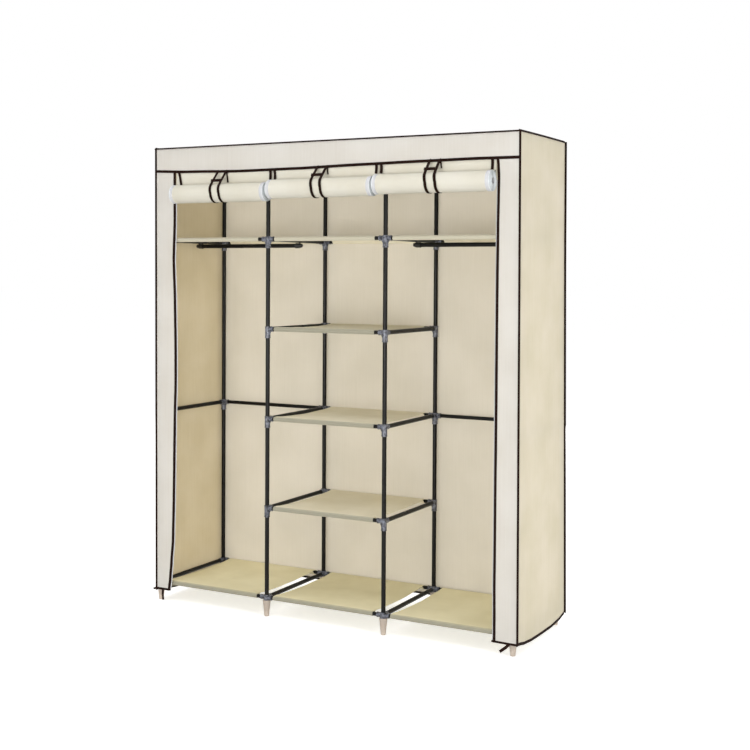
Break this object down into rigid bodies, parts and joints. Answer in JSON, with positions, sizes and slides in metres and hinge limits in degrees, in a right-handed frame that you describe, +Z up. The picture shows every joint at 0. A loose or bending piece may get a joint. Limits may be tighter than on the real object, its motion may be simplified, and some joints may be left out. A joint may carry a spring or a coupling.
{
  "type": "portable fabric wardrobe",
  "caption": "Free-standing wardrobe of steel tubes in moulded connectors with cloth shelves, hanging rods and a sewn cloth cover whose front curtains are rolled up.",
  "frame": {"origin": "on the floor, under the middle of the wardrobe's whole width and of its whole depth, rolled curtains included", "axes": "+X along the width to the right as seen from the front, +Y from the open front towards the back, +Z up"},
  "size_m": [1.4986, 0.5223, 1.7526],
  "materials": {
    "black_steel": "semi-gloss black powder coat",
    "grey_plastic": "satin dark grey moulding",
    "milky_plastic": "translucent milky moulding",
    "cover_cloth": "matt embossed non-woven, cream",
    "shelf_cloth": "matt embossed non-woven, cream",
    "curtain_cloth": "matt embossed non-woven, cream",
    "dark_tape": "matt woven binding tape, dark brown"
  },
  "bodies": {
    "frame_and_cover": {"ladder_outer_left": "black_steel", "ladder_inner_left": "black_steel", "ladder_inner_right": "black_steel", "ladder_outer_right": "black_steel", "crown_frame": "black_steel", "tube_bottom_left_front": "black_steel", "tube_bottom_left_rear": "black_steel", "tube_bottom_centre_front": "black_steel", "tube_bottom_centre_rear": "black_steel", "tube_bottom_right_front": "black_steel", "tube_bottom_right_rear": "black_steel", "tube_lower_centre_front": "black_steel", "tube_lower_centre_rear": "black_steel", "tube_middle_centre_front": "black_steel", "tube_middle_centre_rear": "black_steel", "tube_upper_centre_front": "black_steel", "tube_upper_centre_rear": "black_steel", "tube_top_left_front": "black_steel", "tube_top_left_rear": "black_steel", "tube_top_centre_front": "black_steel", "tube_top_centre_rear": "black_steel", "tube_top_right_front": "black_steel", "tube_top_right_rear": "black_steel", "foot_outer_left_front": "milky_plastic", "foot_outer_left_rear": "milky_plastic", "foot_inner_left_front": "milky_plastic", "foot_inner_left_rear": "milky_plastic", "foot_inner_right_front": "milky_plastic", "foot_inner_right_rear": "milky_plastic", "foot_outer_right_front": "milky_plastic", "foot_outer_right_rear": "milky_plastic", "shelf_bottom_left": "shelf_cloth", "shelf_bottom_centre": "shelf_cloth", "shelf_bottom_right": "shelf_cloth", "shelf_lower_centre": "shelf_cloth", "shelf_middle_centre": "shelf_cloth", "shelf_upper_centre": "shelf_cloth", "shelf_top_left": "shelf_cloth", "shelf_top_centre": "shelf_cloth", "shelf_top_right": "shelf_cloth", "cover_front": "cover_cloth", "cover_back": "cover_cloth", "cover_top": "cover_cloth", "cover_side_left": "cover_cloth", "cover_side_right": "cover_cloth", "curtain_sheet_left": "curtain_cloth", "curtain_sheet_centre": "curtain_cloth", "curtain_sheet_right": "curtain_cloth", "curtain_tie_left": "dark_tape", "curtain_tie_centre": "dark_tape", "curtain_tie_right": "dark_tape"},
    "curtain_left": {"curtain_roll_left": "curtain_cloth"},
    "curtain_centre": {"curtain_roll_centre": "curtain_cloth"},
    "curtain_right": {"curtain_roll_right": "curtain_cloth"},
    "rod_left": {"hanging_rod_left": "black_steel", "rod_hook_outer_left": "grey_plastic", "rod_hook_inner_left": "grey_plastic"},
    "rod_right": {"hanging_rod_right": "black_steel", "rod_hook_inner_right": "grey_plastic", "rod_hook_outer_right": "grey_plastic"}
  },
  "joints": [
    {"name": "curtain_left_drop", "type": "slide", "parent": "frame_and_cover", "child": "curtain_left", "axis": [0, 0, -1], "range_m": [0, 1.488], "deforming": ["curtain_sheet_left", "curtain_tie_left"]},
    {"name": "curtain_centre_drop", "type": "slide", "parent": "frame_and_cover", "child": "curtain_centre", "axis": [0, 0, -1], "range_m": [0, 1.496], "deforming": ["curtain_sheet_centre", "curtain_tie_centre"]},
    {"name": "curtain_right_drop", "type": "slide", "parent": "frame_and_cover", "child": "curtain_right", "axis": [0, 0, -1], "range_m": [0, 1.501], "deforming": ["curtain_sheet_right", "curtain_tie_right"]},
    {"name": "hanging_rod_left_slide", "type": "slide", "parent": "frame_and_cover", "child": "rod_left", "axis": [0, 1, 0], "range_m": [-0.198, 0.148]},
    {"name": "hanging_rod_right_slide", "type": "slide", "parent": "frame_and_cover", "child": "rod_right", "axis": [0, 1, 0], "range_m": [-0.198, 0.148]}
  ]
}
